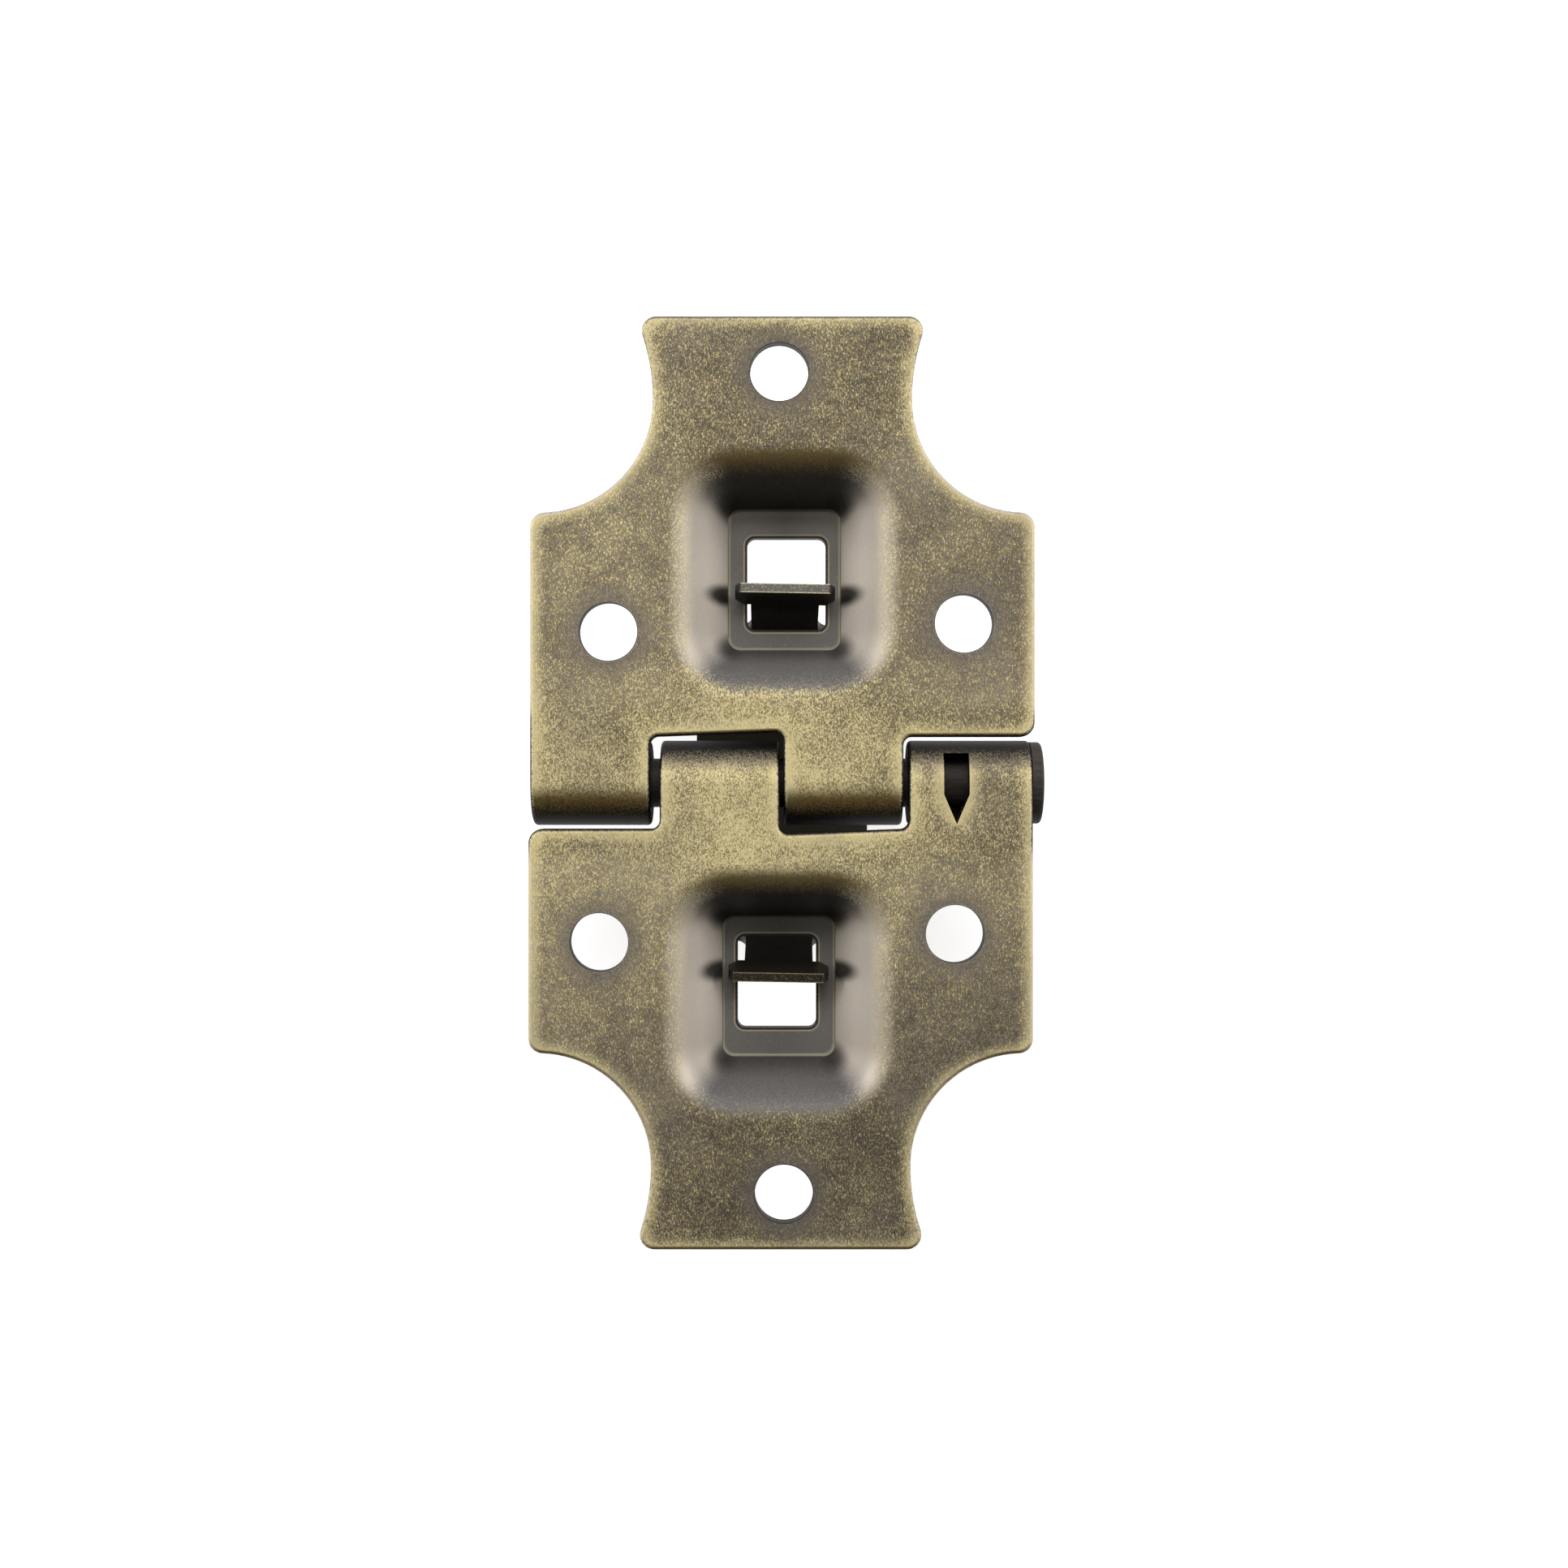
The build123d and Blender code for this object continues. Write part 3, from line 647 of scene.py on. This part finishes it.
class HINGE_OT_stage(bpy.types.Operator):
    """Set up the floor, the softboxes and the camera"""

    bl_idname = "hinge.stage"
    bl_label = "Set the stage"

    def execute(self, context):
        look = context.scene.hinge_stage
        scene = context.scene
        bpy.ops.object.select_all(action="DESELECT")
        low = min(corner[2] for corner in CAD_BOX)
        bpy.ops.mesh.primitive_plane_add(size=4, location=(0, PIN_Y, low - look.floor_gap))
        floor = context.active_object
        floor.name = "paper_floor"
        floor.data.materials.append(white_paper())

        world = bpy.data.worlds.new("light_tent")
        scene.world = world
        world.use_nodes = True
        world.node_tree.nodes.clear()
        tent = add(world.node_tree, "ShaderNodeBackground", ((1, 1, 1, 1), look.tent))
        add(world.node_tree, "ShaderNodeOutputWorld", (tent,))

        camera = bpy.data.cameras.new("camera")
        eye = bpy.data.objects.new("camera", camera)
        scene.collection.objects.link(eye)
        eye.location = (0.01 * MM, PIN_Y - 0.08 * MM, LEAF_HIGH.z + look.camera_height)
        camera.lens = camera.sensor_width * look.camera_height / look.view_width
        camera.clip_start = 1 * MM
        scene.camera = eye

        target = eye.location.copy()
        target.z = LEAF_HIGH.z
        for side, name in ((-1, "left_softbox"), (1, "right_softbox")):
            place = (side * 0.36, PIN_Y + 0.13, 0.18)
            softbox(name, place, (0.2, 0.2), look.side_light, target)
        softbox("lid_softbox", (0, PIN_Y + 0.42, 0.45), (0.5, 0.3), look.lid_light, target)
        softbox("top_softbox", (0, PIN_Y + 0.12, 0.65), (0.4, 0.3), look.top_light, target)
        scene.view_settings.view_transform = "Standard"
        return {"FINISHED"}


class HINGE_PT_panel(bpy.types.Panel):
    """Lists the hinge's steps in the sidebar."""

    bl_idname = "HINGE_PT_panel"
    bl_label = "Lid stop hinge"
    bl_space_type = "VIEW_3D"
    bl_region_type = "UI"
    bl_category = "Hinge"

    def draw(self, context):
        for operator in STEPS:
            self.layout.operator(operator.bl_idname)
        for settings in (context.scene.hinge_plating, context.scene.hinge_arm, context.scene.hinge_stage):
            box = self.layout.box()
            for name in settings.bl_rna.properties.keys():
                if name not in ("rna_type", "name"):
                    box.prop(settings, name)


STEPS = (HINGE_OT_leaves, HINGE_OT_arm, HINGE_OT_pin, HINGE_OT_stage)
SETTINGS = {"hinge_plating": PlatingSettings, "hinge_arm": ArmSettings, "hinge_stage": StageSettings}


def register():
    for group in SETTINGS.values():
        bpy.utils.register_class(group)
    for operator in STEPS:
        bpy.utils.register_class(operator)
    bpy.utils.register_class(HINGE_PT_panel)
    for name, group in SETTINGS.items():
        setattr(bpy.types.Scene, name, bpy.props.PointerProperty(type=group))


def unregister():
    for name in SETTINGS:
        delattr(bpy.types.Scene, name)
    bpy.utils.unregister_class(HINGE_PT_panel)
    for operator in reversed(STEPS):
        bpy.utils.unregister_class(operator)
    for group in reversed(list(SETTINGS.values())):
        bpy.utils.unregister_class(group)


def main():
    register()
    bpy.ops.hinge.leaves()
    bpy.ops.hinge.arm()
    bpy.ops.hinge.pin()
    bpy.ops.hinge.stage()


if __name__ == "__main__":
    main()
